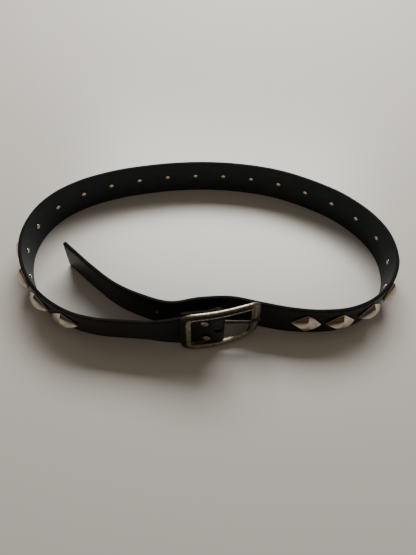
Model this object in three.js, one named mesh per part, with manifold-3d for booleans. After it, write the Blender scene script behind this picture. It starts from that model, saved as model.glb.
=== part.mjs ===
// A studded leather belt with a centre-bar buckle, unfastened and standing on its edge.
// Millimetres, +Z up. The origin is on the table, below the middle of the belt.
// The buckle is at the front (-Y) and the strap runs from it clockwise, seen from above.
import * as THREE from 'three';
import { mergeVertices } from 'three/addons/utils/BufferGeometryUtils.js';
import Module from 'manifold-3d';

const wasm = await Module();
wasm.setup();

// Driving dimensions

const GAP = 0.3; // left between pieces that touch on the real belt
const UP = new THREE.Vector3(0, 0, 1);
const HOLE_SIDES = 12; // of the round holes in the leather
const SEARCH_STEP = 0.1; // when a place along the strap is looked for

const strap = {
  width: 38,
  thickness: 3,
  corner: 0.5, // bevel along the four edges
  foldStep: 1.3, // spacing of the sections in the fold round the bar
  step: 8, // and along the rest
  foldLength: 75, // of the turned-back end, the fold and what lies before the left bar
  tipCorner: 1.5, // cut off the two corners of the free end
  tipSlant: 3.2, // the free end's lower corner reaches further than the upper one
  tipSlantMiddle: 0.25, // where the slanted end has the strap's length, as a share of its width
};

// The buckle's own axes: x along the buckle to the right, y to the back, z up.
// Its origin is the middle of the centre bar.
const buckle = {
  x: 11.15,
  y: -83.91,
  z: 26.5,
  heading: 19.4, // degrees, turned about the vertical
  lean: 5.5, // degrees, its top leans back
};

const frame = {
  left: -23.4, // ends of the window, measured from the centre bar
  right: 27.7,
  leftHalfHeight: 19.8,
  rightHalfHeight: 17.2,
  leftCorner: 4,
  rightCorner: 4,
  upperWidth: 6.4,
  lowerWidth: 6.7,
  leftWidth: 8.4,
  rightWidth: 9,
  depth: 3.4,
  front: 5.8, // how far the front stands before the bar's axis at its fullest
  bowDrop: 3.6, // how far the front falls back over bowHalfSpan
  bowHalfSpan: 31,
  bowMiddle: 3.5,
  rightBulge: 1.4, // the right bar's middle stands out of its ends
  notchWidth: 5.6, // seat of the prong's tip in the right bar
  notchDepth: 1.2,
  notchLength: 12,
  notchSides: 12,
};

// The centre bar is thicker where it is cast into the rails. Heights are from its middle.
const bar = {
  radius: 2,
  lugRadius: 2.4,
  lugStart: 20.4,
  lugEnd: 24,
  shoulder: 0.8, // height of the step from the bar to the lug
  endBevel: 1.2, // height of the lug's rounded end
  endRadius: 1.7,
  sides: 16,
};

const prong = {
  width: 3.6,
  tipWidth: 3,
  thickness: 1.8,
  loopTurn: 292, // degrees the loop runs round the bar
  shankStart: 3.4, // the shank's front begins this far right of the loop's hole
  tipFlat: 0.8, // height of the flat end
  tipChamfer: 0.3,
  bendRelief: 0.6, // the front bends this much further right than the back
};

// The back face of the prong in the buckle's axes: where it first rests on the right bar, and its tip.
const prongRest = { x: 27.2, y: -3.2 };
const prongTip = { x: 36.5, y: -2 };

const stud = {
  count: 23,
  pitch: 28.55,
  fromTip: 230.4, // the last stud's centre, along the strap from the free end
  halfLength: 12.8,
  halfHeight: 12.7,
  skirt: 1,
  peak: 6.8, // from the underside to the apex
  dome: { scale: 0.55, up: 5.15, power: 1.04 }, // the faces bulge, and pass this level
  bow: 1.08, // 1 gives straight edges, more gives fuller ones
  height: 20.2, // centre above the strap's lower edge
  sides: 12,
  apex: 0.06, // size of the blunt top, as a share of the base
  postRadius: 1.5,
  postSides: 10,
  postInside: 0.5, // how far the post reaches into the pyramid
  postAlong: 2, // the post is off the pyramid's middle, against the strap's run
  postUp: 0.9,
  endRadius: 2.4,
  endFace: 1.9, // radius of the spread end's flat face
  endThickness: 0.9,
};

const rivet = {
  postRadius: 1.3,
  capRadius: 3.3,
  capRim: 0.4,
  capShoulder: 0.9,
  capFace: 2.3, // radius where the shoulder ends
  capHeight: 1.2,
  rearRadius: 2.8,
  rearHeight: 0.9,
  front: 2.3, // from the middle of the front layer to the cap before it
  rear: 7.7, // and to the cap behind both layers
  sides: 16,
};

// Rivets that close the fold. along: on the x axis of the buckle. height: above the lower edge.
const foldRivets = [
  { name: 'strap_rivet_upper', along: -11.5, height: 30.2 },
  { name: 'strap_rivet_lower', along: -9.9, height: 8 },
];

const slot = { halfWidth: 2.5, from: -4.4, to: 7 }; // for the prong, cut across the fold
const hole = { radius: 2.3, count: 4, pitch: 25, fromTip: 103.5 }; // for the prong, in the free end

// The strap's course. Both tables run from the turned-back end towards the free end.
// back: how far the upper edge leans to the buckle's back. lift: lower edge above the table.

// In the buckle's axes: the layer that is turned back, up to the bar.
const turnedBack = [
  { x: -29, y: 7.8, lift: 5 },
  { x: -21.5, y: 6.35, lift: 5.6 },
  { x: -14.5, y: 4.7, lift: 7.2 },
  { x: -9, y: 3.1, lift: 7.8 },
];

// In the buckle's axes: the layer in front, from the bar to the left bar's back.
const frontLayer = [
  { x: -5.2, y: -2.7, lift: 7.9 },
  { x: -9.5, y: -1.1, lift: 7.8 },
  { x: -14.5, y: 0.9, lift: 7.2 },
  { x: -21.5, y: 2.6, lift: 5.6 },
  { x: -29, y: 4.1, lift: 5 },
];

const bend = { from: 90, to: -106, points: 9, lift: 7.9 }; // degrees round the bar, 0 at its right
const backAtBuckle = 3.65;
const stanceTension = 0.4; // of the curve through the back and lift columns
const curveDivisions = 4000;

// On the table: from the buckle's left, round the loop, behind the buckle and to the tip.
const course = [
  { x: -33.5, y: -91.7, back: -0.5, lift: 4.6 },
  { x: -47, y: -91.2, back: -3.6, lift: 2.5 },
  { x: -67, y: -90.5, back: -4, lift: 0.5 },
  { x: -87, y: -90.1, back: -4, lift: 0 },
  { x: -108, y: -86.2, back: -4, lift: 0 },
  { x: -131, y: -75, back: -3, lift: 0 },
  { x: -148.5, y: -58.8, back: -1.5, lift: 0 },
  { x: -161, y: -36.3, back: 0, lift: 0 },
  { x: -165.2, y: -12.8, back: 0, lift: 0 },
  { x: -160.4, y: 12.6, back: 0, lift: 0 },
  { x: -148, y: 33.1, back: 0, lift: 0 },
  { x: -128.6, y: 50.1, back: 0, lift: 0 },
  { x: -107.6, y: 61.9, back: 0, lift: 0 },
  { x: -83.5, y: 71.6, back: 0, lift: 0 },
  { x: -35.2, y: 83.9, back: 0, lift: 0 },
  { x: 14.6, y: 88.3, back: 0, lift: 0 },
  { x: 64.2, y: 83.2, back: 0, lift: 0 },
  { x: 111, y: 66, back: 0, lift: 0 },
  { x: 131.3, y: 53.2, back: 0, lift: 0 },
  { x: 150, y: 35.3, back: 0, lift: 0 },
  { x: 161.8, y: 14.5, back: 0, lift: 0 },
  { x: 164.9, y: -11.1, back: 0, lift: 0 },
  { x: 157.6, y: -33.8, back: 0, lift: 0 },
  { x: 140.6, y: -53.2, back: 0, lift: 0 },
  { x: 119.7, y: -64.7, back: 0, lift: 0 },
  { x: 94.2, y: -69.6, back: 0.3, lift: 0 },
  { x: 70.3, y: -69.9, back: 1, lift: 0 },
  { x: 44.5, y: -66.9, back: 1, lift: 0 },
  { x: 20.5, y: -63.5, back: 0.5, lift: 0 },
  { x: -5.4, y: -66.4, back: 0, lift: 0 },
  { x: -29.2, y: -72.3, back: 0, lift: 0 },
  { x: -55, y: -67.1, back: 0, lift: 0 },
  { x: -77.2, y: -58.1, back: 0, lift: 0 },
  { x: -98.7, y: -43.5, back: 0, lift: 0 },
  { x: -117.5, y: -28.6, back: 0, lift: 0 },
  { x: -128.8, y: -19.6, back: 0, lift: 0 },
];

// Materials

const leather = () => new THREE.MeshStandardMaterial({ color: 0x0d0c0b, roughness: 0.55 });
const nickel = () => new THREE.MeshStandardMaterial({ color: 0xb9aa98, roughness: 0.25, metalness: 1 });
const bronze = () => new THREE.MeshStandardMaterial({ color: 0x8c7f6c, roughness: 0.35, metalness: 1 });

const belt = new THREE.Group();

function addPiece(name, geometry, material, placement = new THREE.Matrix4()) {
  const mesh = new THREE.Mesh(geometry, material);
  mesh.name = name;
  placement.decompose(mesh.position, mesh.quaternion, mesh.scale);
  belt.add(mesh);
}

// Closed meshes to solids and back

function solidOf(geometry) {
  const bare = new THREE.BufferGeometry();
  bare.setAttribute('position', geometry.attributes.position);
  bare.setIndex(geometry.index);
  const merged = mergeVertices(bare, 1e-4);
  const corners = merged.index.array;
  const kept = [];
  for (let i = 0; i < corners.length; i += 3) {
    const [a, b, c] = [corners[i], corners[i + 1], corners[i + 2]];
    if (a !== b && b !== c && c !== a) {
      kept.push(a, b, c);
    }
  }
  const vertProperties = new Float32Array(merged.attributes.position.array);
  return new wasm.Manifold(new wasm.Mesh({ numProp: 3, vertProperties, triVerts: new Uint32Array(kept) }));
}

function geometryOf(solid) {
  const mesh = solid.getMesh();
  const geometry = new THREE.BufferGeometry();
  geometry.setAttribute('position', new THREE.BufferAttribute(mesh.vertProperties, 3));
  geometry.setIndex(new THREE.BufferAttribute(mesh.triVerts, 1));
  geometry.computeVertexNormals();
  return geometry;
}

// A closed mesh through rings of equally many points. The rings close on themselves as a hoop,
// or else the first and the last ring are capped.
function skin(rings, closed) {
  const around = rings[0].length;
  const positions = rings.flat().flatMap((p) => p.toArray());
  const index = [];
  const spans = closed ? rings.length : rings.length - 1;
  for (let i = 0; i < spans; i += 1) {
    const here = i * around;
    const there = ((i + 1) % rings.length) * around;
    for (let j = 0; j < around; j += 1) {
      const k = (j + 1) % around;
      index.push(here + j, here + k, there + k, here + j, there + k, there + j);
    }
  }
  if (!closed) {
    const last = (rings.length - 1) * around;
    for (let j = 1; j < around - 1; j += 1) {
      index.push(0, j + 1, j, last, last + j, last + j + 1);
    }
  }
  const geometry = new THREE.BufferGeometry();
  geometry.setAttribute('position', new THREE.Float32BufferAttribute(positions, 3));
  geometry.setIndex(index);
  return geometry;
}

// A turned piece along z, from pairs of radius and height.
function turned(profile, sides) {
  const lathe = new THREE.LatheGeometry(profile.map(([r, z]) => new THREE.Vector2(r, z)), sides);
  lathe.rotateX(Math.PI / 2);
  return lathe;
}

// The buckle's axes in the belt

const heading = THREE.MathUtils.degToRad(buckle.heading);
const lean = THREE.MathUtils.degToRad(buckle.lean);
const towardsBack = new THREE.Vector3(-Math.sin(heading), Math.cos(heading), 0);
const buckleAxes = new THREE.Matrix4().makeRotationZ(heading);
buckleAxes.multiply(new THREE.Matrix4().makeRotationX(-lean));
buckleAxes.setPosition(buckle.x, buckle.y, buckle.z);

function byBuckle({ x, y, lift }) {
  const plan = new THREE.Vector3(x, y, 0).applyAxisAngle(UP, heading);
  return { x: plan.x + buckle.x, y: plan.y + buckle.y, back: backAtBuckle, lift };
}

// The strap's centreline

function roundTheBar() {
  const radius = bar.radius + GAP + strap.thickness / 2;
  const points = [];
  for (let i = 0; i < bend.points; i += 1) {
    const angle = THREE.MathUtils.degToRad(bend.from + ((bend.to - bend.from) * i) / (bend.points - 1));
    points.push({ x: radius * Math.cos(angle), y: radius * Math.sin(angle), lift: bend.lift });
  }
  return points;
}

const folded = [...turnedBack, ...roundTheBar(), ...frontLayer].map(byBuckle);
const rows = [...folded, ...course];
const centreline = new THREE.CatmullRomCurve3(rows.map((row) => new THREE.Vector3(row.x, row.y, 0)));
const stance = new THREE.CatmullRomCurve3(
  rows.map((row) => new THREE.Vector3(row.back, row.lift, 0)),
  false,
  'catmullrom',
  stanceTension,
);
centreline.arcLengthDivisions = curveDivisions;
const strapLength = centreline.getLength();

function stanceAt(t) {
  const { x: back, y: lift } = stance.getPoint(t);
  return { back, lift: Math.max(0, lift) };
}

// The strap's own axes at a distance from the turned-back end: x against the run of the strap,
// y up and z out of the grain side, with the origin at a height above the lower edge.
function strapAxes(distance, height) {
  const u = distance / strapLength;
  const t = centreline.getUtoTmapping(u);
  const { back, lift } = stanceAt(t);
  const run = centreline.getTangent(t);
  const rise = UP.clone().addScaledVector(towardsBack, back / strap.width).normalize();
  const against = run.clone().negate();
  const out = against.clone().cross(rise).normalize();
  const up = out.clone().cross(against);
  const place = centreline.getPoint(t);
  place.addScaledVector(towardsBack, back * (height / strap.width - 0.5));
  place.z = lift + height;
  return new THREE.Matrix4().makeBasis(against, up, out).setPosition(place);
}

// Strap

// The section, counter-clockwise seen against the run: out is across the thickness.
function strapSection() {
  const { width, thickness, corner } = strap;
  const half = thickness / 2;
  return [
    { out: half - corner, height: 0 },
    { out: half, height: corner },
    { out: half, height: width - corner },
    { out: half - corner, height: width },
    { out: corner - half, height: width },
    { out: -half, height: width - corner },
    { out: -half, height: corner },
    { out: corner - half, height: 0 },
  ];
}

function strapRing(distance, squeeze = 0, slant = 0) {
  const t = centreline.getUtoTmapping(distance / strapLength);
  const { back, lift } = stanceAt(t);
  const run = centreline.getTangent(t);
  const out = new THREE.Vector3(-run.y, run.x, 0);
  const middle = centreline.getPoint(t);
  return strapSection().map((corner) => {
    const height = THREE.MathUtils.lerp(squeeze, strap.width - squeeze, corner.height / strap.width);
    const place = middle.clone().addScaledVector(out, corner.out);
    place.addScaledVector(run, slant * (strap.tipSlantMiddle - height / strap.width));
    place.addScaledVector(towardsBack, back * (height / strap.width - 0.5));
    place.z = lift + height;
    return place;
  });
}

function strapBody() {
  const rings = [];
  for (let distance = 0; distance < strap.foldLength; distance += strap.foldStep) {
    rings.push(strapRing(distance));
  }
  const tipStart = strapLength - strap.tipCorner;
  const steps = Math.round((tipStart - strap.foldLength) / strap.step);
  for (let i = 0; i < steps; i += 1) {
    rings.push(strapRing(THREE.MathUtils.lerp(strap.foldLength, tipStart, i / steps)));
  }
  rings.push(strapRing(tipStart, 0, strap.tipSlant));
  rings.push(strapRing(strapLength, strap.tipCorner, strap.tipSlant));
  return solidOf(skin(rings, false));
}

function drill(radius, axes, reach) {
  const cutter = new THREE.CylinderGeometry(radius, radius, 2 * reach, HOLE_SIDES);
  cutter.rotateX(Math.PI / 2);
  cutter.applyMatrix4(axes);
  return solidOf(cutter);
}

function slotCutter() {
  const reach = 2 * bar.radius + 4 * strap.thickness;
  const length = slot.to - slot.from;
  const cutter = new THREE.BoxGeometry(length, reach, 2 * slot.halfWidth);
  cutter.translate(slot.from + length / 2, 0, 0);
  cutter.applyMatrix4(buckleAxes);
  return solidOf(cutter);
}

// Where the front layer passes a given place along the buckle.
function distanceAt(along) {
  const start = roundTheBar().length + turnedBack.length - 1;
  const target = new THREE.Vector3(along, 0, 0).applyAxisAngle(UP, heading).x + buckle.x;
  let nearest = 0;
  let smallest = Infinity;
  for (let distance = 0; distance < strap.foldLength; distance += SEARCH_STEP) {
    const t = centreline.getUtoTmapping(distance / strapLength);
    const point = centreline.getPoint(t).sub(new THREE.Vector3(buckle.x, buckle.y, 0));
    const local = point.applyAxisAngle(UP, -heading);
    if (t * (rows.length - 1) > start && Math.abs(local.x - along) < smallest) {
      smallest = Math.abs(local.x - along);
      nearest = distance;
    }
  }
  return nearest;
}

const postPlace = new THREE.Matrix4().makeTranslation(stud.postAlong, stud.postUp, 0);
const studDistances = [];
for (let i = 0; i < stud.count; i += 1) {
  studDistances.push(strapLength - stud.fromTip - (stud.count - 1 - i) * stud.pitch);
}

function cutStrap() {
  let body = strapBody();
  for (const distance of studDistances) {
    const axes = strapAxes(distance, stud.height).multiply(postPlace);
    body = body.subtract(drill(stud.postRadius + GAP, axes, strap.thickness));
  }
  for (const { along, height } of foldRivets) {
    const axes = strapAxes(distanceAt(along), height);
    body = body.subtract(drill(rivet.postRadius + GAP, axes, 3 * strap.thickness));
  }
  for (let i = 0; i < hole.count; i += 1) {
    const distance = strapLength - hole.fromTip - i * hole.pitch;
    body = body.subtract(drill(hole.radius, strapAxes(distance, strap.width / 2), strap.thickness));
  }
  return body.subtract(slotCutter());
}

addPiece('strap', geometryOf(cutStrap()), leather());

// Buckle frame with its centre bar, one casting

function frameFront(x) {
  return -frame.front + frame.bowDrop * ((x - frame.bowMiddle) / frame.bowHalfSpan) ** 2;
}

// The upper half of the window, from the middle of its left end to the middle of its right end.
function halfWindow() {
  const { left, right, leftHalfHeight: high, rightHalfHeight: low } = frame;
  const { leftCorner, rightCorner, rightBulge } = frame;
  const path = new THREE.Path();
  path.moveTo(left, 0);
  path.lineTo(left, high - leftCorner);
  path.quadraticCurveTo(left, high, left + leftCorner, high);
  path.quadraticCurveTo(right / 2, high, right - rightCorner, low);
  path.quadraticCurveTo(right - rightBulge, low, right - rightBulge / 2, low - rightCorner);
  path.quadraticCurveTo(right, low / 2, right, 0);
  const points = [];
  const divisions = [1, 4, 7, 4, 4];
  path.curves.forEach((curve, i) => {
    for (let j = 0; j < divisions[i]; j += 1) {
      const t = (j + 0.5) / divisions[i];
      points.push({ at: curve.getPoint(t), run: curve.getTangent(t) });
    }
  });
  return points;
}

// The casting's section. out: share of its width, from the window's edge. back: behind the front.
const railSection = [
  { out: 0, back: 0.5 },
  { out: 0.08, back: 0 },
  { out: 0.45, back: 0 },
  { out: 0.88, back: 0.9 },
  { out: 1, back: 1.7 },
  { out: 1, back: frame.depth - 0.4 },
  { out: 0.9, back: frame.depth },
  { out: 0.08, back: frame.depth },
  { out: 0, back: frame.depth - 0.5 },
];

// The rails and the two bars across have widths of their own, and the corners lead over.
function castingWidth(at, run) {
  const railWidth = at.y > 0 ? frame.upperWidth : frame.lowerWidth;
  const barWidth = at.x < 0 ? frame.leftWidth : frame.rightWidth;
  return THREE.MathUtils.lerp(railWidth, barWidth, run.y ** 2);
}

function frameRing() {
  const half = halfWindow();
  const lower = half.toReversed().map(({ at, run }) => ({
    at: new THREE.Vector2(at.x, -at.y),
    run: new THREE.Vector2(-run.x, run.y),
  }));
  const rings = [...half, ...lower].map(({ at, run }) => {
    const width = castingWidth(at, run);
    return railSection.toReversed().map(({ out, back }) => {
      const x = at.x - run.y * out * width;
      const z = at.y + run.x * out * width;
      return new THREE.Vector3(x, frameFront(x) + back, z);
    });
  });
  return solidOf(skin(rings, true));
}

function centreBar() {
  const { radius, lugRadius, lugStart, lugEnd, shoulder, endBevel, endRadius } = bar;
  return solidOf(
    turned(
      [
        [0, -lugEnd],
        [endRadius, -lugEnd],
        [lugRadius, -lugEnd + endBevel],
        [lugRadius, -lugStart - shoulder],
        [radius, -lugStart],
        [radius, lugStart],
        [lugRadius, lugStart + shoulder],
        [lugRadius, lugEnd - endBevel],
        [endRadius, lugEnd],
        [0, lugEnd],
      ],
      bar.sides,
    ),
  );
}

function notchCutter() {
  const x = frame.right + frame.rightWidth / 2;
  const radius = frame.notchWidth / 2;
  const cutter = new THREE.CylinderGeometry(radius, radius, frame.notchLength, frame.notchSides);
  cutter.rotateZ(Math.PI / 2);
  cutter.scale(1, frame.notchDepth / radius, 1);
  cutter.translate(x, frameFront(x), 0);
  return solidOf(cutter);
}

const casting = frameRing().add(centreBar()).subtract(notchCutter());
addPiece('buckle_frame', geometryOf(casting), bronze(), buckleAxes);

// Prong, hooked round the centre bar and resting on the right bar

function prongSide() {
  const inner = bar.radius + GAP;
  const outer = inner + prong.thickness;
  const rest = new THREE.Vector2(prongRest.x, prongRest.y);
  const tip = new THREE.Vector2(prongTip.x, prongTip.y);
  const shape = new THREE.Shape();
  // The shank's back face is the tangent from the resting place to the loop's outside, at the back.
  const touch = rest.angle() + Math.acos(outer / rest.length());
  shape.absarc(0, 0, outer, touch, touch + THREE.MathUtils.degToRad(prong.loopTurn), false);
  shape.lineTo(inner + prong.shankStart, inner);
  shape.lineTo(rest.x + prong.bendRelief, rest.y - prong.thickness);
  shape.lineTo(tip.x - prong.tipFlat, tip.y - prong.thickness + prong.tipChamfer);
  shape.lineTo(tip.x, tip.y - prong.tipFlat);
  shape.lineTo(tip.x, tip.y);
  shape.lineTo(rest.x, rest.y);
  const eye = new THREE.Path();
  eye.absarc(0, 0, inner, 0, 2 * Math.PI, true);
  shape.holes.push(eye);
  const geometry = new THREE.ExtrudeGeometry(shape, {
    depth: prong.width,
    bevelEnabled: false,
    curveSegments: 12,
  });
  geometry.translate(0, 0, -prong.width / 2);
  return solidOf(geometry);
}

function prongFront() {
  const half = prong.width / 2;
  const tipHalf = prong.tipWidth / 2;
  const shape = new THREE.Shape();
  const start = -prong.width - bar.radius;
  const reach = 4 * prong.width;
  shape.moveTo(start, -half);
  shape.lineTo(half, -half);
  shape.lineTo(prongTip.x - tipHalf, -tipHalf);
  shape.absarc(prongTip.x - tipHalf, 0, tipHalf, -Math.PI / 2, Math.PI / 2, false);
  shape.lineTo(half, half);
  shape.lineTo(start, half);
  const options = { depth: 2 * reach, bevelEnabled: false, curveSegments: 4 };
  const geometry = new THREE.ExtrudeGeometry(shape, options);
  geometry.translate(0, 0, -reach);
  geometry.rotateX(Math.PI / 2);
  return solidOf(geometry);
}

addPiece('prong', geometryOf(prongSide().intersect(prongFront())), bronze(), buckleAxes);

// Rivets that close the fold

function rivetGeometry() {
  const { postRadius, capRadius, front } = rivet;
  const rear = -rivet.rear;
  return turned(
    [
      [0, rear - rivet.rearHeight],
      [rivet.capFace, rear - rivet.rearHeight],
      [rivet.rearRadius, rear],
      [postRadius, rear],
      [postRadius, front],
      [capRadius, front],
      [capRadius, front + rivet.capRim],
      [rivet.capFace, front + rivet.capShoulder],
      [0, front + rivet.capHeight],
    ],
    rivet.sides,
  );
}

for (const { name, along, height } of foldRivets) {
  addPiece(name, rivetGeometry(), nickel(), strapAxes(distanceAt(along), height));
}

// Studs: a domed square pyramid standing on its corner, a post through the strap and its spread end

function pyramid() {
  const { halfLength, halfHeight, skirt, dome, peak, bow, apex, sides } = stud;
  const underside = strap.thickness / 2 + GAP;
  const levels = [
    { scale: 1, up: underside, power: bow },
    { scale: 1, up: underside + skirt, power: bow },
    { scale: dome.scale, up: underside + dome.up, power: dome.power },
    { scale: apex, up: underside + peak, power: 1 },
  ];
  const rings = levels.map(({ scale, up, power }) => {
    const ring = [];
    for (let i = 0; i < sides; i += 1) {
      const angle = (2 * Math.PI * i) / sides;
      const [c, s] = [Math.cos(angle), Math.sin(angle)];
      const size = scale * (Math.abs(c) ** power + Math.abs(s) ** power) ** (-1 / power);
      ring.push(new THREE.Vector3(halfLength * size * c, halfHeight * size * s, up));
    }
    return ring;
  });
  return solidOf(skin(rings, false));
}

function studGeometry() {
  const rear = -strap.thickness / 2 - GAP;
  const front = strap.thickness / 2 + GAP + stud.postInside;
  const post = turned(
    [
      [0, rear - stud.endThickness],
      [stud.endFace, rear - stud.endThickness],
      [stud.endRadius, rear - stud.endThickness / 2],
      [stud.endRadius, rear],
      [stud.postRadius, rear],
      [stud.postRadius, front],
      [0, front],
    ],
    stud.postSides,
  );
  post.applyMatrix4(postPlace);
  return geometryOf(pyramid().add(solidOf(post)));
}

studDistances.forEach((distance, i) => {
  const name = `stud_${String(i + 1).padStart(2, '0')}`;
  addPiece(name, studGeometry(), nickel(), strapAxes(distance, stud.height));
});

export default belt;
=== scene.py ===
import math

import bmesh
import bpy
import numpy as np
from mathutils import Matrix, Vector


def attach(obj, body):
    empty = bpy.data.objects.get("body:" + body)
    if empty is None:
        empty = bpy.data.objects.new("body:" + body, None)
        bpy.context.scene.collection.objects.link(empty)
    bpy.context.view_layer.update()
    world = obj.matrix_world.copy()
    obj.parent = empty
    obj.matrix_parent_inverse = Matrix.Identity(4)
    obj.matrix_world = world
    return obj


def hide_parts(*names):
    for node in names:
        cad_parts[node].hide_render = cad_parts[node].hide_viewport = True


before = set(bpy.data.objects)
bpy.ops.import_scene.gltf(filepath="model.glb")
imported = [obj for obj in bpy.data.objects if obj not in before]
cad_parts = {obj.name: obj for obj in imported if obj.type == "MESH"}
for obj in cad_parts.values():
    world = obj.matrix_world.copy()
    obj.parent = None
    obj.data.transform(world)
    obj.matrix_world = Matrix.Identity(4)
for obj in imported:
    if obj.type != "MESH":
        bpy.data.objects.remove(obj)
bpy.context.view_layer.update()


# Camera
# The belt is seen from above its front, over the buckle, with the camera turned a little.
# Its place and focal length were worked out from the strap's two edges.

camera_height = 0.35846
camera_front = 0.2435
camera_pitch = math.radians(58.385)
camera_roll = math.radians(4.361)
focal_pixels = 450
photo_height = 555
sensor_width = 36

look = Vector((0, math.cos(camera_pitch), -math.sin(camera_pitch)))
level = Vector((1, 0, 0))
over = level.cross(look)
aside = level * math.cos(camera_roll) + over * math.sin(camera_roll)
above = over * math.cos(camera_roll) - level * math.sin(camera_roll)

camera = bpy.data.objects.new("camera", bpy.data.cameras.new("camera"))
camera.data.sensor_width = sensor_width
camera.data.lens = focal_pixels / photo_height * sensor_width
camera.matrix_world = Matrix(
    (
        (aside.x, above.x, -look.x, 0),
        (aside.y, above.y, -look.y, -camera_front),
        (aside.z, above.z, -look.z, camera_height),
        (0, 0, 0, 1),
    )
)
bpy.context.scene.collection.objects.link(camera)
bpy.context.scene.camera = camera


# Strap
# One length of black bridle leather, cut 38 mm wide, dyed and burnished along its edges, with a
# creased line inside each edge of the grain side. One end is folded round the centre bar.

# All sizes of the belt are in millimetres, and its meshes are turned to metres as they are made.
MM = 0.001
strap_width = 38
strap_thickness = 3
bar_radius = 2
gap = 0.3

# The slot is in the fold, in the buckle's axes. The holes are in the free end.
prong_slot = {"half_width": 2.5, "left": -4.4, "right": 7.5, "half_depth": 9, "round_points": 13}
prong_hole = {"radius": 2.3, "count": 4, "pitch": 25, "from_tip": 103.5, "half_depth": 4, "sides": 24}

# The middle of the centre bar, how far the buckle's right end is turned to the back, and how far
# its top leans back.
buckle_place = Vector((11.15, -83.91, 26.5))
buckle_heading = math.radians(19.4)
buckle_lean = math.radians(5.5)

# The fold in the buckle's own axes: x along it, y to its back, and the strap's lift off the table.
turned_back = [(-29, 7.8, 5), (-21.5, 6.35, 5.6), (-14.5, 4.7, 7.2), (-9, 3.1, 7.8)]
front_layer = [(-5.2, -2.7, 7.9), (-9.5, -1.1, 7.8), (-14.5, 0.9, 7.2), (-21.5, 2.6, 5.6), (-29, 4.1, 5)]
bend = {"from": 90, "to": -106, "points": 9, "lift": 7.9}
back_at_buckle = 3.65
fold_length = 75

# On the table: x, y, how far the upper edge leans back, lift.
course = [
    (-33.5, -91.7, -0.5, 4.6),
    (-47, -91.2, -3.6, 2.5),
    (-67, -90.5, -4, 0.5),
    (-87, -90.1, -4, 0),
    (-108, -86.2, -4, 0),
    (-131, -75, -3, 0),
    (-148.5, -58.8, -1.5, 0),
    (-161, -36.3, 0, 0),
    (-165.2, -12.8, 0, 0),
    (-160.4, 12.6, 0, 0),
    (-148, 33.1, 0, 0),
    (-128.6, 50.1, 0, 0),
    (-107.6, 61.9, 0, 0),
    (-83.5, 71.6, 0, 0),
    (-35.2, 83.9, 0, 0),
    (14.6, 88.3, 0, 0),
    (64.2, 83.2, 0, 0),
    (111, 66, 0, 0),
    (131.3, 53.2, 0, 0),
    (150, 35.3, 0, 0),
    (161.8, 14.5, 0, 0),
    (164.9, -11.1, 0, 0),
    (157.6, -33.8, 0, 0),
    (140.6, -53.2, 0, 0),
    (119.7, -64.7, 0, 0),
    (94.2, -69.6, 0.3, 0),
    (70.3, -69.9, 1, 0),
    (44.5, -66.9, 1, 0),
    (20.5, -63.5, 0.5, 0),
    (-5.4, -66.4, 0, 0),
    (-29.2, -72.3, 0, 0),
    (-55, -67.1, 0, 0),
    (-77.2, -58.1, 0, 0),
    (-98.7, -43.5, 0, 0),
    (-117.5, -28.6, 0, 0),
    (-128.8, -19.6, 0, 0),
]

# The section near an edge: how far in from its side, how far from the edge, and the face of the
# stretch up to the next row. The crease is in the grain rows.
GRAIN, EDGE, FLESH = range(3)
grain_rows = [
    (0.75, 0.02, EDGE),
    (0.35, 0.22, EDGE),
    (0.1, 0.6, EDGE),
    (0, 1.1, GRAIN),
    (0, 1.7, GRAIN),
    (0.12, 1.95, GRAIN),
    (0.42, 2.2, GRAIN),
    (0.12, 2.45, GRAIN),
    (0.02, 2.75, GRAIN),
    (0, 3.3, GRAIN),
    (0, 8, GRAIN),
    (0, 13, GRAIN),
]
flesh_rows = [(0.9, 0, EDGE), (0.35, 0.12, EDGE), (0.08, 0.4, FLESH), (0, 0.8, FLESH)]
flesh_shares = (0.8, 0.6, 0.4, 0.2)

# Near the turned-back end and near the tip: the distance from it, and how far the edges draw in,
# what share of the thickness is left, and how far the tip's lower edge runs ahead of the upper.
end_draw_in, tip_draw_in = [(0, 0.5), (0.6, 0)], [(1.5, 0), (0.5, 0.4), (0, 1.4)]
end_thinning, tip_thinning = [(0, 0.6), (0.5, 1)], [(0.6, 1), (0, 0.65)]
tip_slant, slant_level = [(8, 0), (1.5, 3.2)], 0.25

# Where the strap's rings are: at the turned-back end, in the fold, along the rest and at the tip.
end_places, fold_from, fold_step = (0, 0.25), 0.6, 0.5
rest_rings, rest_to_tip, tip_places = 680, 2, (1.2, 0.6, 0.25, 0)
leather_angle = 32

buckle_axes = Matrix.Translation(buckle_place) @ Matrix.Rotation(buckle_heading, 4, "Z")
buckle_axes = buckle_axes @ Matrix.Rotation(-buckle_lean, 4, "X")
towards_back = np.array([-math.sin(buckle_heading), math.cos(buckle_heading)])


def by_buckle(x, y, lift):
    """A row of the course, from a row in the buckle's axes."""
    c, s = math.cos(buckle_heading), math.sin(buckle_heading)
    return (x * c - y * s + buckle_place.x, x * s + y * c + buckle_place.y, back_at_buckle, lift)


def round_the_bar():
    """The bend of the fold, in the buckle's axes."""
    radius = bar_radius + gap + strap_thickness / 2
    angles = np.radians(np.linspace(bend["from"], bend["to"], bend["points"]))
    return [(radius * math.cos(a), radius * math.sin(a), bend["lift"]) for a in angles]


strap_rows = [by_buckle(*row) for row in turned_back + round_the_bar() + front_layer] + course
plan_rows = np.array([row[:2] for row in strap_rows])
stance_rows = np.array([row[2:] for row in strap_rows])


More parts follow.
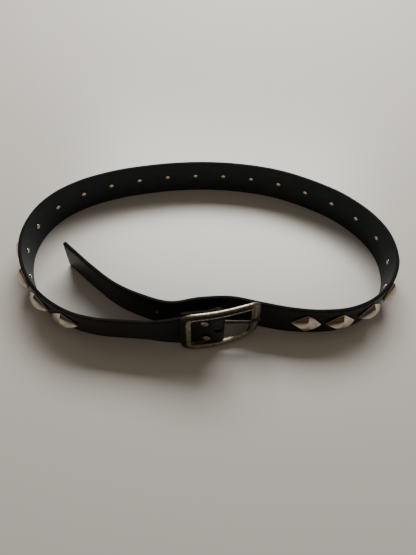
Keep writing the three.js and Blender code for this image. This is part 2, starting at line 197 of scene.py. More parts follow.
def spline(rows, t, centripetal, pull=0.4):
    """A smooth curve through the rows, the same that the strap's solid follows."""
    before, after = 2 * rows[0] - rows[1], 2 * rows[-1] - rows[-2]
    padded = np.concatenate(([before], rows, [after]))
    place = np.clip(t, 0, 1) * (len(rows) - 1)
    i = np.minimum(place.astype(int), len(rows) - 2)
    w = (place - i)[:, None]
    a, b, c, d = (padded[i + k] for k in range(4))
    if centripetal:
        spans = ((a, b), (b, c), (c, d))
        ab, bc, cd = (np.sqrt(np.linalg.norm(q - p, axis=1))[:, None] for p, q in spans)
        leave = ((b - a) / ab - (c - a) / (ab + bc) + (c - b) / bc) * bc
        arrive = ((c - b) / bc - (d - b) / (bc + cd) + (d - c) / cd) * bc
    else:
        leave, arrive = pull * (c - a), pull * (d - b)
    square, cube = 3 * (c - b) - 2 * leave - arrive, 2 * (b - c) + leave + arrive
    return b + leave * w + square * w**2 + cube * w**3


fine = np.linspace(0, 1, 40001)
fine_steps = np.linalg.norm(np.diff(spline(plan_rows, fine, True), axis=0), axis=1)
fine_lengths = np.concatenate(([0], np.cumsum(fine_steps)))
strap_length = fine_lengths[-1]


def strap_lines(distances, step=1e-5):
    """Middle, outward direction, lean and lift of the strap at distances from the turned-back end."""
    t = np.interp(distances, fine_lengths, fine)
    ahead, behind = (spline(plan_rows, np.clip(t + way, 0, 1), True) for way in (step, -step))
    run = ahead - behind
    run /= np.linalg.norm(run, axis=1)[:, None]
    stance = spline(stance_rows, t, False)
    out = np.stack((-run[:, 1], run[:, 0]), 1)
    return spline(plan_rows, t, True), out, stance[:, 0], np.maximum(stance[:, 1], 0)


def strap_axes(distance, height):
    """The strap's own axes: x against its run, y up, z out of the grain side."""
    middle, out, back, lift = (value[0] for value in strap_lines(np.array([distance])))
    against = Vector((-out[1], out[0], 0))
    rise = Vector((*(towards_back * back / strap_width), 1)).normalized()
    outward = against.cross(rise).normalized()
    up = outward.cross(against)
    plan = middle + towards_back * back * (height / strap_width - 0.5)
    axes = Matrix((against, up, outward)).transposed().to_4x4()
    return Matrix.Translation((plan[0], plan[1], lift + height)) @ axes


def strap_section():
    """Out, height and face of the points round the section, up the grain side and down the flesh."""
    half = strap_thickness / 2
    low = [(half - inset, height, face) for inset, height, face in grain_rows]
    high = [(out, strap_width - height, face) for out, height, face in reversed(low)]
    middle = [(half, strap_width / 2, GRAIN)]
    back_high = [(inset - half, strap_width - height, face) for inset, height, face in flesh_rows]
    flesh = [(-half, strap_width * share, FLESH) for share in flesh_shares]
    back_low = [(out, strap_width - height, EDGE) for out, height, _ in reversed(back_high)]
    return low + middle + high + back_high + flesh + back_low


def near_ends(distances, end, tip):
    """Values at these distances, from rows near the turned-back end and rows near the tip."""
    places, values = zip(*end, *((strap_length - far, value) for far, value in tip))
    return np.interp(distances, places, values)


def strap_rings(section):
    """The section's points at places along the strap, closer together in the fold and at the ends."""
    in_fold = np.arange(fold_from, fold_length, fold_step)
    beyond = np.linspace(fold_length, strap_length - rest_to_tip, rest_rings)
    to_tip = strap_length - np.array(tip_places)
    distances = np.concatenate((end_places, in_fold, beyond, to_tip))
    draw_in = near_ends(distances, end_draw_in, tip_draw_in)
    thin = near_ends(distances, end_thinning, tip_thinning)
    slant = near_ends(distances, [], tip_slant)
    middle, out, back, lift = strap_lines(distances)
    run = np.stack((out[:, 1], -out[:, 0]), 1)
    rings = []
    for i in range(len(distances)):
        ring = []
        for across, height, _ in section:
            level_here = draw_in[i] + (strap_width - 2 * draw_in[i]) * height / strap_width
            share = level_here / strap_width
            plan = middle[i] + out[i] * across * thin[i] + towards_back * back[i] * (share - 0.5)
            plan = plan + run[i] * slant[i] * (slant_level - share)
            ring.append((plan[0], plan[1], lift[i] + level_here))
        rings.append(ring)
    return rings


def skin(rings, closed=False):
    """Points and faces through rings of equally many points, an open row of rings being capped."""
    count, around = len(rings), len(rings[0])
    faces = []
    for i in range(count if closed else count - 1):
        here, there = i * around, (i + 1) % count * around
        for j in range(around):
            k = (j + 1) % around
            faces.append((here + j, here + k, there + k, there + j))
    if not closed:
        faces.append(tuple(range(around))[::-1])
        faces.append(tuple((count - 1) * around + j for j in range(around)))
    return [point for ring in rings for point in ring], faces


def lathe(profile, sides, matrix):
    """Rings of a turned piece along the matrix's z axis. The profile is (radius, z) from end to end."""
    turn = [2 * math.pi * i / sides for i in range(sides)]
    return [[matrix @ Vector((r * math.cos(a), r * math.sin(a), z)) for a in turn] for r, z in profile]


def smooth(mesh, angle):
    """Smooth shading that leaves edges sharper than the angle."""
    mesh.polygons.foreach_set("use_smooth", [True] * len(mesh.polygons))
    mesh.set_sharp_from_angle(angle=math.radians(angle))


def made(name, shape, materials, angle=40, places=None):
    """A new object of points in millimetres and faces, with each face's material in places."""
    points, faces = shape
    mesh = bpy.data.meshes.new(name)
    mesh.from_pydata([tuple(float(c) * MM for c in point) for point in points], [], faces)
    for material in materials:
        mesh.materials.append(material)
    if places is not None:
        mesh.polygons.foreach_set("material_index", places)
    work = bmesh.new()
    work.from_mesh(mesh)
    bmesh.ops.recalc_face_normals(work, faces=work.faces)
    work.to_mesh(mesh)
    work.free()
    smooth(mesh, angle)
    thing = bpy.data.objects.new(name, mesh)
    bpy.context.scene.collection.objects.link(thing)
    return thing


def added(nodes, kind, **values):
    """A new node with these values in its sockets, whose names have _ for a space."""
    node = nodes.new(kind)
    for socket, value in values.items():
        node.inputs[socket.replace("_", " ")].default_value = value
    return node


def surface_group(name, scales):
    """A node group to fill, with its inputs, a place and some scales, and outputs, Mask and Height."""
    group = bpy.data.node_groups.new(name, "ShaderNodeTree")
    group.interface.new_socket("Vector", in_out="INPUT", socket_type="NodeSocketVector")
    for scale in scales:
        group.interface.new_socket(scale, in_out="INPUT", socket_type="NodeSocketFloat")
    for output in ("Mask", "Height"):
        group.interface.new_socket(output, in_out="OUTPUT", socket_type="NodeSocketFloat")
    return group, group.nodes.new("NodeGroupInput").outputs, group.nodes.new("NodeGroupOutput").inputs


def leather_group():
    """Leather: patches of wear as the mask, and a pebbled grain with pores as the height."""
    group, into, out = surface_group("leather_surface", ("Pebble", "Patch"))
    nodes, link = group.nodes, group.links.new
    pebbles = nodes.new("ShaderNodeTexVoronoi")
    pebbles.feature = "SMOOTH_F1"
    pebbles.inputs["Smoothness"].default_value = 0.6
    pores = added(nodes, "ShaderNodeTexNoise", Detail=6, Scale=900)
    patches = added(nodes, "ShaderNodeTexNoise", Detail=4, Roughness=0.6)
    pored = nodes.new("ShaderNodeMath")
    pored.operation = "MULTIPLY_ADD"
    pored.inputs[1].default_value = 0.45
    for texture in (pebbles, pores, patches):
        link(into["Vector"], texture.inputs["Vector"])
    link(into["Pebble"], pebbles.inputs["Scale"])
    link(into["Patch"], patches.inputs["Scale"])
    link(pores.outputs["Fac"], pored.inputs[0])
    link(pebbles.outputs["Distance"], pored.inputs[2])
    link(pored.outputs[0], out["Height"])
    link(patches.outputs["Fac"], out["Mask"])
    return group


leather_surface = leather_group()


def surfaced(name, group, scales, colours, rough, bump, depth):
    """A material from a surface group: colours and roughness over its mask, and bump of this depth."""
    material = bpy.data.materials.new(name)
    material.use_nodes = True
    nodes, link = material.node_tree.nodes, material.node_tree.links.new
    shader, surface = nodes["Principled BSDF"], nodes.new("ShaderNodeGroup")
    surface.node_tree = group
    for scale, value in scales.items():
        surface.inputs[scale].default_value = value
    link(nodes.new("ShaderNodeTexCoord").outputs["Object"], surface.inputs["Vector"])
    colour = nodes.new("ShaderNodeValToRGB")
    for element, (position, tone) in zip(colour.color_ramp.elements, colours):
        element.position = position
        element.color = (*tone, 1)
    gloss = added(nodes, "ShaderNodeMapRange", To_Min=rough[0], To_Max=rough[1])
    relief = added(nodes, "ShaderNodeBump", Strength=bump, Distance=depth)
    link(surface.outputs["Mask"], colour.inputs["Fac"])
    link(surface.outputs["Mask"], gloss.inputs["Value"])
    link(surface.outputs["Height"], relief.inputs["Height"])
    link(colour.outputs["Color"], shader.inputs["Base Color"])
    link(gloss.outputs["Result"], shader.inputs["Roughness"])
    link(relief.outputs["Normal"], shader.inputs["Normal"])
    return material


def leather(name, dark, worn, pebble, patch, rough, bump, gloss_level):
    """Leather: dark where untouched, lighter and duller where worn."""
    scales, colours = {"Pebble": pebble, "Patch": patch}, ((0.35, dark), (0.75, worn))
    material = surfaced(name, leather_surface, scales, colours, rough, bump, depth=0.0002)
    shader = material.node_tree.nodes["Principled BSDF"]
    shader.inputs["Specular IOR Level"].default_value = gloss_level
    return material


grain_side = leather(
    "leather_grain",
    dark=(0.005, 0.005, 0.0048),
    worn=(0.0105, 0.0105, 0.0102),
    pebble=1500,
    patch=60,
    rough=(0.38, 0.52),
    bump=0.35,
    gloss_level=0.2,
)
cut_edge = leather(
    "leather_edge",
    dark=(0.003, 0.0033, 0.0032),
    worn=(0.008, 0.0088, 0.0088),
    pebble=2600,
    patch=180,
    rough=(0.55, 0.7),
    bump=0.3,
    gloss_level=0.08,
)
flesh_side = leather(
    "leather_flesh",
    dark=(0.0145, 0.0185, 0.0195),
    worn=(0.026, 0.0325, 0.034),
    pebble=2200,
    patch=90,
    rough=(0.5, 0.66),
    bump=0.5,
    gloss_level=0.22,
)


def slot_cutter():
    """A slot with a round left end, through both layers of the fold and out at its bend."""
    half, left, right = prong_slot["half_width"], prong_slot["left"], prong_slot["right"]
    outline = [(right, -half), (right, half)]
    turn = np.radians(np.linspace(90, 270, prong_slot["round_points"]))
    outline += [(left + half + half * math.cos(a), half * math.sin(a)) for a in turn]
    sides = (-prong_slot["half_depth"], prong_slot["half_depth"])
    rings = [[buckle_axes @ Vector((x, y, z)) for x, z in outline] for y in sides]
    return made("slot_cutter", skin(rings), [cut_edge])


def hole_cutter(number):
    """A round hole across the free end, counted from the tip."""
    distance = strap_length - prong_hole["from_tip"] - number * prong_hole["pitch"]
    profile = [(prong_hole["radius"], side * prong_hole["half_depth"]) for side in (-1, 1)]
    rings = lathe(profile, prong_hole["sides"], strap_axes(distance, strap_width / 2))
    return made(f"hole_cutter_{number}", skin(rings), [cut_edge])


def cut(thing, cutters):
    """Takes the cutters out of the thing's mesh and removes them."""
    for tool in cutters:
        modifier = thing.modifiers.new(tool.name, "BOOLEAN")
        modifier.operation = "DIFFERENCE"
        modifier.solver = "EXACT"
        modifier.material_mode = "INDEX"
        modifier.object = tool
    bpy.context.view_layer.update()
    ready = thing.evaluated_get(bpy.context.evaluated_depsgraph_get())
    mesh = bpy.data.meshes.new_from_object(ready)
    thing.modifiers.clear()
    thing.data = mesh
    for tool in cutters:
        bpy.data.objects.remove(tool)


section = strap_section()
rings = strap_rings(section)
places = [face for _ in rings[1:] for _, _, face in section] + [EDGE, EDGE]
strap = made("strap_leather", skin(rings), [grain_side, cut_edge, flesh_side], leather_angle, places)
cut(strap, [slot_cutter()] + [hole_cutter(number) for number in range(prong_hole["count"])])
smooth(strap.data, leather_angle)
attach(strap, "belt")
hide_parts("strap")


# Buckle frame
# A cast frame, plated, tall at the left and narrow at the right, with patina painted in its groove. Its left
# bar is broad, with a dull outer wall in painted shade. Its right bar has a shallow oval pad, bright above
# the prong and in painted shade below it, with a seat for the prong. The front of the upper rail and the
# outer edge of the lower rail are in painted shade too.

window = {"left": -23.4, "right": 27.7, "left_half": 19.8, "right_half": 17.2}
window.update(left_corner=4, right_corner=4, right_bulge=1.4, rounding=3)
window_points = {"left": 24, "left_corner": 8, "rail": 56, "right_corner": 10, "right": 20}
casting = {"upper": 6.4, "lower": 6.7, "left": 8.4, "right": 9, "front": 5.8}
bow = {"drop": 3.6, "half_span": 31, "middle": 3.5}
lug = {"radius": 2.4, "end_radius": 1.7, "start": 20.4, "end": 24, "sides": 32}
seat = {"half_width": 2.8, "depth": 1.2, "back": 2.2, "deepest": 2.4, "upright": 0.8}

# The radius of the ring that closes the end of a turned piece.
pin_point = 0.01

# Share of the casting's width from the window's edge. Then the depth behind the front on the rails,
# the left bar and the right bar. Then the darkening, patina in the groove and painted shade on faces turned
# from the window, on the upper rail, the lower rail, the left bar, and the right bar above and below the
# prong.
casting_columns = ("share", "rail", "left", "right")
casting_columns += ("upper_patina_and_shade", "lower_patina_and_shade", "left_patina_and_shade", "right_patina_and_shade_above", "right_patina_and_shade_below")
casting_section = [
    (0.3, 3.4, 3.4, 3.4, 0.6, 0.6, 0.6, 0.6, 0.6),
    (0.06, 3.4, 3.4, 3.4, 0.6, 0.6, 0.6, 0.6, 0.6),
    (0, 3.15, 3.15, 3.15, 0.5, 0.1, 0.6, 0.7, 0.8),
    (0, 2.0, 2.0, 2.0, 0.4, 0, 0.6, 0.7, 0.8),
    (0, 0.7, 0.7, 0.9, 0.3, 0, 0.5, 0.6, 0.7),
    (0.015, 0.42, 0.42, 0.6, 0.1, 0, 0.3, 0.5, 0.6),
    (0.05, 0.2, 0.2, 0.45, 0, 0, 0, 0.4, 0.5),
    (0.12, 0.12, 0.12, 0.42, 0, 0, 0, 0.4, 0.5),
    (0.2, 0.14, 0.08, 0.5, 0, 0, 0, 0.5, 0.6),
    (0.27, 0.3, 0.08, 0.55, 0.3, 0, 0, 0.85, 0.8),
    (0.31, 0.62, 0.1, 0.35, 0.95, 0.3, 0, 0.3, 0.3),
    (0.36, 0.8, 0.14, 0.15, 1, 0.5, 0, 0, 0),
    (0.42, 0.82, 0.24, 0.05, 1, 0.5, 0.1, 0, 0),
    (0.48, 0.72, 0.45, 0, 1, 0.35, 0.85, 0, 0),
    (0.53, 0.45, 0.6, 0, 0.9, 0.2, 0.95, 0, 0.05),
    (0.58, 0.3, 0.7, 0, 0.9, 0.3, 0.95, 0, 0.2),
    (0.64, 0.26, 0.78, 0.02, 0.9, 0.5, 0.95, 0, 0.5),
    (0.72, 0.32, 0.88, 0.08, 0.9, 0.8, 0.95, 0, 0.8),
    (0.8, 0.5, 1.0, 0.25, 0.85, 0.95, 0.95, 0, 0.9),
    (0.88, 0.85, 1.15, 0.6, 0.6, 0.95, 0.95, 0.05, 0.95),
    (0.94, 1.2, 1.4, 1.0, 0.15, 0.95, 0.95, 0.3, 0.95),
    (0.985, 1.6, 1.7, 1.6, 0.1, 0.95, 0.95, 0.8, 0.95),
    (1, 2.1, 2.1, 2.1, 0.1, 0.95, 0.95, 0.9, 0.95),
    (1, 2.9, 2.9, 2.9, 0.1, 0.95, 0.95, 0.9, 0.95),
    (0.98, 3.22, 3.22, 3.22, 0.2, 0.9, 0.8, 0.8, 0.8),
    (0.93, 3.4, 3.4, 3.4, 0.6, 0.6, 0.6, 0.6, 0.6),
    (0.6, 3.4, 3.4, 3.4, 0.6, 0.6, 0.6, 0.6, 0.6),
]


def frame_front(x):
    """The y of the bowed frame's front, in the buckle's axes."""
    return -casting["front"] + bow["drop"] * ((x - bow["middle"]) / bow["half_span"]) ** 2


def quadratic(a, b, c, count):
    """Points on a curve from a towards b and on to c, without its end."""
    t = np.linspace(0, 1, count, endpoint=False)[:, None]
    a, b, c = (np.array(p, float) for p in (a, b, c))
    return a * (1 - t) ** 2 + 2 * b * t * (1 - t) + c * t**2


def window_outline():
    """The window's edge as x and z in the buckle's axes, from the middle of its left side upwards."""
    left, right = window["left"], window["right"]
    high, low = window["left_half"], window["right_half"]
    near, far, bulge = window["left_corner"], window["right_corner"], window["right_bulge"]
    corner_end = (right - bulge / 2, low - far)
    stretches = {
        "left": ((left, 0), (left, (high - near) / 2), (left, high - near)),
        "left_corner": ((left, high - near), (left, high), (left + near, high)),
        "rail": ((left + near, high), (right / 2, high), (right - far, low)),
        "right_corner": ((right - far, low), (right - bulge, low), corner_end),
        "right": (corner_end, (right, low / 2), (right, 0)),
    }
    curves = [quadratic(*stretch, window_points[name]) for name, stretch in stretches.items()]
    half = np.concatenate((*curves, [(right, 0)]))
    ring = np.concatenate((half, (half * [1, -1])[::-1][1:-1]))
    for _ in range(window["rounding"]):
        ring = (np.roll(ring, 1, 0) + 2 * ring + np.roll(ring, -1, 0)) / 4
    return ring


def casting_rings():
    """The section all round the window, and how dark each of its points is, with patina and painted shade.
    """
    column = dict(zip(casting_columns, np.array(casting_section).T))
    outline = window_outline()
    run = np.roll(outline, -1, 0) - np.roll(outline, 1, 0)
    run /= np.linalg.norm(run, axis=1)[:, None]
    rings, dark = [], []
    for (x, z), (run_x, run_z) in zip(outline, run):
        rail = "upper" if z > 0 else "lower"
        bar = "left" if x < 0 else "right"
        # Each point's darkening is patina in the groove and painted shade on faces turned from the window.
        bar_patina_and_shade = "right_patina_and_shade_above" if z > -seat["half_width"] else "right_patina_and_shade_below"
        rail_tones, bar_tones = column[rail + "_patina_and_shade"], column["left_patina_and_shade" if x < 0 else bar_patina_and_shade]
        upright = run_z**2
        width = casting[rail] + (casting[bar] - casting[rail]) * upright
        depths = column["rail"] + (column[bar] - column["rail"]) * upright
        ring = []
        for share, back in zip(column["share"], depths):
            out_x, out_z = x - run_z * share * width, z + run_x * share * width
            front = frame_front(out_x) + back
            in_seat = 1 - (out_z / seat["half_width"]) ** 2
            if x > 0 and abs(run_z) > seat["upright"] and in_seat > 0 and back < seat["back"]:
                front += seat["depth"] * math.sqrt(in_seat)
                front = min(front, frame_front(out_x) + seat["deepest"])
            ring.append(buckle_axes @ Vector((out_x, front, out_z)))
        rings.append(ring)
        dark += list(rail_tones + (bar_tones - rail_tones) * upright)
    return rings, dark


def centre_bar_profile():
    """Radius and height of the centre bar with its lugs, from the lower end to the upper."""
    start, end, radius = lug["start"], lug["end"], lug["radius"]
    profile = [(pin_point, -end), (lug["end_radius"], -end), (radius - 0.2, 0.7 - end)]
    profile += [(radius, 1.2 - end), (radius, -start - 0.8), (bar_radius, -start)]
    return profile + [(radius, -height) for radius, height in reversed(profile)]


def joined(one, other):
    """The points and faces of two shapes in one."""
    return one[0] + other[0], one[1] + [tuple(len(one[0]) + i for i in face) for face in other[1]]


def metal_group():
    """Plated metal: cloudy tarnish as the mask, and fine specks as the height."""
    group, into, out = surface_group("metal_surface", ("Cloud", "Speck"))
    nodes, link = group.nodes, group.links.new
    clouds = added(nodes, "ShaderNodeTexNoise", Detail=5)
    specks = added(nodes, "ShaderNodeTexNoise", Detail=8, Roughness=0.7)
    for texture, scale, output in ((clouds, "Cloud", "Mask"), (specks, "Speck", "Height")):
        link(into["Vector"], texture.inputs["Vector"])
        link(into[scale], texture.inputs["Scale"])
        link(texture.outputs["Fac"], out[output])
    return group


metal_surface = metal_group()


def plated(name, tarnish, bright, rough, cloud, bump):
    """Plated metal. The roughness is given where it is tarnished and where it is bright."""
    scales, colours = {"Cloud": cloud, "Speck": 1400}, ((0.35, tarnish), (0.62, bright))
    material = surfaced(name, metal_surface, scales, colours, rough, bump, depth=0.0001)
    material.node_tree.nodes["Principled BSDF"].inputs["Metallic"].default_value = 1
    return material


def darken(thing, dark, patina_and_shade_colour, dulling):
    """Turns the thing's material to the colour of patina and painted shade, and duller, where its points are
    dark.
    """
    attribute = thing.data.attributes.new("darkening", "FLOAT", "POINT")
    attribute.data.foreach_set("value", dark)
    tree = thing.data.materials[0].node_tree
    nodes, link = tree.nodes, tree.links.new
    shader = nodes["Principled BSDF"]
    colour, gloss = (shader.inputs[name].links[0].from_socket for name in ("Base Color", "Roughness"))
    depth = nodes.new("ShaderNodeAttribute")
    depth.attribute_name = "darkening"
    shade, dull = nodes.new("ShaderNodeMix"), nodes.new("ShaderNodeMath")
    shade.data_type = "RGBA"
    shade.inputs["B"].default_value = (*patina_and_shade_colour, 1)
    dull.operation = "MULTIPLY_ADD"
    dull.inputs[1].default_value = dulling
    link(depth.outputs["Fac"], shade.inputs["Factor"])
    link(colour, shade.inputs["A"])
    link(depth.outputs["Fac"], dull.inputs[0])
    link(gloss, dull.inputs[2])
    link(shade.outputs["Result"], shader.inputs["Base Color"])
    link(dull.outputs[0], shader.inputs["Roughness"])


antique = plated(
    "antique_plate",
    tarnish=(0.27, 0.235, 0.17),
    bright=(0.5, 0.45, 0.35),
    rough=(0.42, 0.26),
    cloud=420,
    bump=0.3,
)
rings, dark = casting_rings()
bar_rings = lathe(centre_bar_profile(), lug["sides"], buckle_axes)
buckle_shape = joined(skin(rings, closed=True), skin(bar_rings))
buckle = made("buckle_casting", buckle_shape, [antique], angle=50)
# The centre bar and its lugs, inside the fold, are in painted shade all over.
dark += [1] * (len(bar_rings) * len(bar_rings[0]))
# The dark colour stands for patina in the groove and for painted shade on faces turned from the window.
darken(buckle, dark, patina_and_shade_colour=(0.02, 0.023, 0.02), dulling=0.4)
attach(buckle, "belt")
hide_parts("buckle_frame")


# Prong
# A strip of plated rod, rolled round the centre bar at one end. It runs out of the slot and lies
# in the seat of the right bar, with its tip bent to follow the casting.

prong_size = {"width": 3.6, "tip_width": 3, "thickness": 1.8, "loop": 1.6 * math.pi}
prong_rest = (27.2, -3.2)
prong_tip = (36.5, -2)

# The section's powers across and through, where 1 is round and 0 square, and the least width at the
# tip. Then the share of the thickness at the tip and at the loop's end, and how soon it is whole.
prong_form = {"sides": 20, "across": 0.45, "through": 0.6, "blunt": 0.12}
prong_thinning = {"tip": (0.55, 1.2), "loop": (0.6, 0.8)}
prong_points = {"loop": 40, "straight": 30, "tip": 12}
prong_smoothing = 4


def prong_path():
    """The middle of the strip's thickness, in the buckle's axes, from the loop's end to the tip."""
    half = prong_size["thickness"] / 2
    inner = bar_radius + gap
    outer = inner + prong_size["thickness"]
    touch = math.atan2(prong_rest[1], prong_rest[0]) + math.acos(outer / math.hypot(*prong_rest))
    turn = np.linspace(touch + prong_size["loop"], touch, prong_points["loop"])
    loop = [((inner + half) * math.cos(a), (inner + half) * math.sin(a)) for a in turn]
    straight_end = Vector(prong_rest) - Vector((math.cos(touch), math.sin(touch))) * half
    tip = Vector(prong_tip) - Vector((0, half))
    straight_shares = np.linspace(0.04, 1, prong_points["straight"])
    straight = [Vector(loop[-1]).lerp(straight_end, share) for share in straight_shares]
    bent = [straight[-1].lerp(tip, share) for share in np.linspace(0.1, 1, prong_points["tip"])]
    path = np.array([tuple(p) for p in loop + straight + bent])
    for _ in range(prong_smoothing):
        path[1:-1] = (path[:-2] + 2 * path[1:-1] + path[2:]) / 4
    return path


def prong_rings():
    """Rounded sections of the strip along its path, narrower and blunt at the tip."""
    path = prong_path()
    run = np.gradient(path, axis=0)
    run /= np.linalg.norm(run, axis=1)[:, None]
    lengths = np.concatenate(([0], np.cumsum(np.linalg.norm(np.diff(path, axis=0), axis=1))))
    total = lengths[-1]
    narrowing = (prong_size["tip_width"] - prong_size["width"]) / 2
    rings = []
    for place, way, length in zip(path, run, lengths):
        left = total - length
        half = prong_size["width"] / 2 + narrowing * max(0, 2 * length / total - 1)
        half *= max(prong_form["blunt"], math.sqrt(1 - (1 - min(1, left / half)) ** 2))
        thick = prong_size["thickness"] / 2
        for end, distance in (("tip", left), ("loop", length)):
            share, reach = prong_thinning[end]
            thick *= share + (1 - share) * min(1, distance / reach)
        ring = []
        for k in range(prong_form["sides"]):
            angle = 2 * math.pi * (k + 0.5) / prong_form["sides"]
            c, s = math.cos(angle), math.sin(angle)
            across = math.copysign(abs(c) ** prong_form["across"], c) * half
            through = math.copysign(abs(s) ** prong_form["through"], s) * thick
            x, y = place[0] - way[1] * through, place[1] + way[0] * through
            ring.append(buckle_axes @ Vector((x, y, across)))
        rings.append(ring)
    return rings


prong_plate = plated(
    "prong_plate",
    tarnish=(0.04, 0.036, 0.029),
    bright=(0.07, 0.064, 0.052),
    rough=(0.68, 0.55),
    cloud=260,
    bump=0.2,
)
prong = made("buckle_prong", skin(prong_rings()), [prong_plate], angle=55)
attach(prong, "prong")
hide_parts("prong")


# Fold rivets
# Two capped rivets close the fold behind the left half of the window. Their caps are pressed from
# thin metal, with a rolled rim and a flat crown.

fold_rivets = [
    {"name": "strap_rivet_upper", "along": -11.5, "height": 30.2},
    {"name": "strap_rivet_lower", "along": -9.9, "height": 8},
]
rivet = {"post": 1.3, "cap": 3.3, "front": 2.3, "rear": 7.7, "sides": 40}

# Share of the cap's radius, and how far out of the rear or the front, as the profile runs.
rear_rows = [(0.62, 0.88), (0.78, 0.65), (0.85, 0.3), (0.85, 0)]
front_rows = [(0.9, -0.5), (0.985, -0.3), (1, 0), (0.97, 0.3), (0.88, 0.55), (0.72, 0.66)]
front_rows += [(0.6, 0.72), (0.4, 0.82)]
rear_middle, front_middle = 0.9, 0.88


def distance_at(along):
    """Where the front layer passes a place on the buckle's x axis."""
    distances = np.arange(0, fold_length, 0.1)
    middle = strap_lines(distances)[0] - np.array(buckle_place[:2])
    local = middle @ np.array([math.cos(buckle_heading), math.sin(buckle_heading)])
    front_from = (len(turned_back) + bend["points"] - 1) / (len(strap_rows) - 1)
    in_front = np.interp(distances, fine_lengths, fine) > front_from
    return distances[np.argmin(np.where(in_front, np.abs(local - along), np.inf))]


def rivet_profile():
    """Radius and place of the rivet through the fold, from its rear cap to its front cap."""
    cap, shank, front, rear = rivet["cap"], rivet["post"], rivet["front"], rivet["rear"]
    profile = [(pin_point, -rear - rear_middle)]
    profile += [(cap * share, -rear - out) for share, out in rear_rows]
    profile += [(shank, -rear), (shank, front + front_rows[0][1])]
    profile += [(cap * share, front + out) for share, out in front_rows]
    return profile + [(pin_point, front + front_middle)]


rivet_plate = plated(
    "rivet_plate",
    tarnish=(0.22, 0.18, 0.14),
    bright=(0.42, 0.36, 0.29),
    rough=(0.48, 0.3),
    cloud=500,
    bump=0.3,
)
for row in fold_rivets:
    rings = lathe(rivet_profile(), rivet["sides"], strap_axes(distance_at(row["along"]), row["height"]))
    cap_rivet = made(row["name"] + "_cap", skin(rings), [rivet_plate], angle=50)
    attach(cap_rivet, "belt")
    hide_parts(row["name"])


# Studs
# Pressed nickel pyramids on their corner, evenly spaced round the strap. Each is held by a post
# that is spread into a small disc on the flesh side.

stud = {"count": 23, "pitch": 28.55, "from_tip": 230.4, "height": 20.2}
stud.update(half_length=12.8, half_height=12.7, skirt=1, peak=6.8, roundness=2.1, points=24)
post = {"radius": 1.5, "end": 2.4, "thickness": 0.9, "sides": 96, "into": 0.4}
post_place = Matrix.Translation((2, 0.9, 0))

# How far the pyramid's sides swell between its corners, and the share of that lost at the peak.
swell, swell_lost = 0.45, 0.7

# The skirt's size and height, then the sizes of the rings up the faces.
skirt_rows = [(0.97, 0), (0.995, 0.12), (1, 0.3)]
skirt_rows += [(1, stud["skirt"] - 0.25), (0.995, stud["skirt"] - 0.08)]
face_sizes = (0.98, 0.955, 0.92, 0.88, 0.83, 0.77, 0.7, 0.62, 0.53, 0.44, 0.35, 0.26, 0.18, 0.11, 0.05, 0.02)

# Shares of the spread end's radius and thickness, from its middle outwards.
spread_rows = [(0.5, 0.96), (0.8, 0.78), (0.96, 0.4)]


def pyramid_rings(under):
    """The pyramid's rings from its rim on the leather to its peak."""
    levels = [(size, up, 0) for size, up in skirt_rows]
    skirt, rise = stud["skirt"], stud["peak"] - stud["skirt"]
    levels += [(size, skirt + rise * (1 - size ** stud["roundness"]), 1 - size) for size in face_sizes]
    length, height = stud["half_length"], stud["half_height"]
    corners = [Vector(corner) for corner in ((length, 0), (0, height), (-length, 0), (0, -height))]
    rings = []
    for size, up, share in levels:
        bulge = swell * (1 - swell_lost * share)
        ring = []
        for here, there in zip(corners, corners[1:] + corners[:1]):
            outwards = (here + there).normalized()
            for i in range(stud["points"]):
                along = i / stud["points"]
                place = here.lerp(there, along) + outwards * bulge * 4 * along * (1 - along)
                ring.append((place.x * size, place.y * size, under + up))
        rings.append(ring)
    return rings


def post_profile(under, rear):
    """Radius and place of the post, from its spread end to inside the pyramid."""
    radius, end, thick = post["radius"], post["end"], post["thickness"]
    profile = [(pin_point, rear - thick)]
    profile += [(end * wide, rear - thick * deep) for wide, deep in spread_rows]
    profile += [(end, rear - 0.1), (end * 0.95, rear + 0.05), (radius, rear + 0.05)]
    return profile + [(radius, under + post["into"]), (pin_point, under + post["into"])]


stud_plate = plated(
    "stud_plate",
    tarnish=(0.45, 0.39, 0.31),
    bright=(0.62, 0.55, 0.46),
    rough=(0.2, 0.1),
    cloud=160,
    bump=0.06,
)
face_of_strap = strap_thickness / 2 + gap
post_rings = lathe(post_profile(face_of_strap, -face_of_strap), post["sides"], post_place)
stud_shape = joined(skin(pyramid_rings(face_of_strap)), skin(post_rings))
first_stud = made("stud_pattern", stud_shape, [stud_plate], angle=24)
for i in range(stud["count"]):
    distance = strap_length - stud["from_tip"] - (stud["count"] - 1 - i) * stud["pitch"]
    pyramid = bpy.data.objects.new(f"nickel_stud_{i + 1:02d}", first_stud.data)
    axes = strap_axes(distance, stud["height"])
    pyramid.matrix_world = Matrix.Scale(MM, 4) @ axes @ Matrix.Scale(1 / MM, 4)
    bpy.context.scene.collection.objects.link(pyramid)
    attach(pyramid, "belt")
    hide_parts(f"stud_{i + 1:02d}")
bpy.data.objects.remove(first_stud)


# Table and light
# A plain pale table that ends a little in front of the belt, one bright window high behind it, and a
# dim room, teal below and brown above, that the studs mirror. The camera itself sees plain grey walls.

table_reach = 3.0
table_front = -0.27
table_corners = [(-table_reach, table_front, 0), (table_reach, table_front, 0)]
table_corners += [(table_reach, table_reach, 0), (-table_reach, table_reach, 0)]

floor_mesh = bpy.data.meshes.new("table_top")
floor_mesh.from_pydata(table_corners, [], [(0, 1, 2, 3)])
floor_material = bpy.data.materials.new("table_top")
floor_material.use_nodes = True
floor_shader = floor_material.node_tree.nodes["Principled BSDF"]
floor_shader.inputs["Base Color"].default_value = (0.62, 0.595, 0.555, 1)
floor_shader.inputs["Roughness"].default_value = 0.3
floor_mesh.materials.append(floor_material)
floor = bpy.data.objects.new("table_top", floor_mesh)
bpy.context.scene.collection.objects.link(floor)

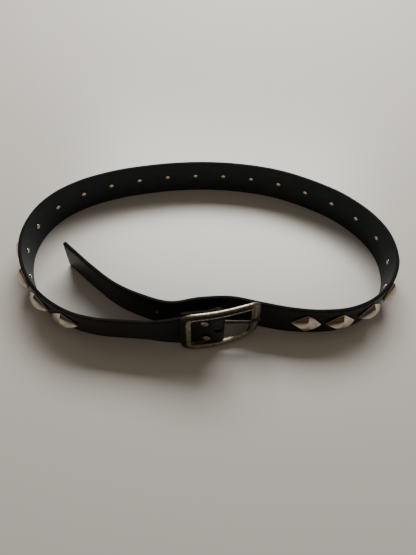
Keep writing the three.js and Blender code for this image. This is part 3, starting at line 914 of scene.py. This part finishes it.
window_light = bpy.data.lights.new("window", "AREA")
window_light.shape = "RECTANGLE"
window_light.size, window_light.size_y = 0.85, 0.55
window_light.energy = 19.5
window_light.color = (1, 0.988, 0.955)
window_place, window_aim = Vector((0.04, 0.76, 0.82)), Vector((0.03, 0.46, 0))
lamp = bpy.data.objects.new("window", window_light)
lamp.location = window_place
lamp.rotation_euler = (window_aim - window_place).to_track_quat("-Z", "Y").to_euler()
lamp.visible_camera = False
bpy.context.scene.collection.objects.link(lamp)

# The room's tones from low to high, as places on a ramp between two heights of the view.
room_heights = (-0.35, 0.65)
room_lowest, room_highest = (0.025, 0.016, 0.01), (0.22, 0.19, 0.155)
room_tones = [
    (0.2, (0.012, 0.016, 0.018)),
    (0.27, (0.025, 0.055, 0.065)),
    (0.34, (0.02, 0.045, 0.055)),
    (0.36, (0.012, 0.01, 0.008)),
    (0.42, (0.03, 0.018, 0.01)),
    (0.445, (0.2, 0.08, 0.03)),
    (0.475, (0.17, 0.07, 0.028)),
    (0.5, (0.03, 0.02, 0.014)),
    (0.65, (0.07, 0.06, 0.05)),
]
wall_grey = (0.36, 0.35, 0.33)

world = bpy.data.worlds.new("room")
world.use_nodes = True
room, room_link = world.node_tree.nodes, world.node_tree.links.new
direction = room.new("ShaderNodeTexCoord")
split = room.new("ShaderNodeSeparateXYZ")
height = added(room, "ShaderNodeMapRange", From_Min=room_heights[0], From_Max=room_heights[1])
tones = room.new("ShaderNodeValToRGB")
tones.color_ramp.elements[0].color = (*room_lowest, 1)
tones.color_ramp.elements[1].color = (*room_highest, 1)
for place, tone in room_tones:
    tones.color_ramp.elements.new(place).color = (*tone, 1)
rays = room.new("ShaderNodeLightPath")
wall = room.new("ShaderNodeMix")
wall.data_type = "RGBA"
wall.inputs["B"].default_value = (*wall_grey, 1)
room_link(direction.outputs["Generated"], split.inputs["Vector"])
room_link(split.outputs["Z"], height.inputs["Value"])
room_link(height.outputs["Result"], tones.inputs["Fac"])
room_link(rays.outputs["Is Camera Ray"], wall.inputs["Factor"])
room_link(tones.outputs["Color"], wall.inputs["A"])
room_link(wall.outputs["Result"], room["Background"].inputs["Color"])
bpy.context.scene.world = world
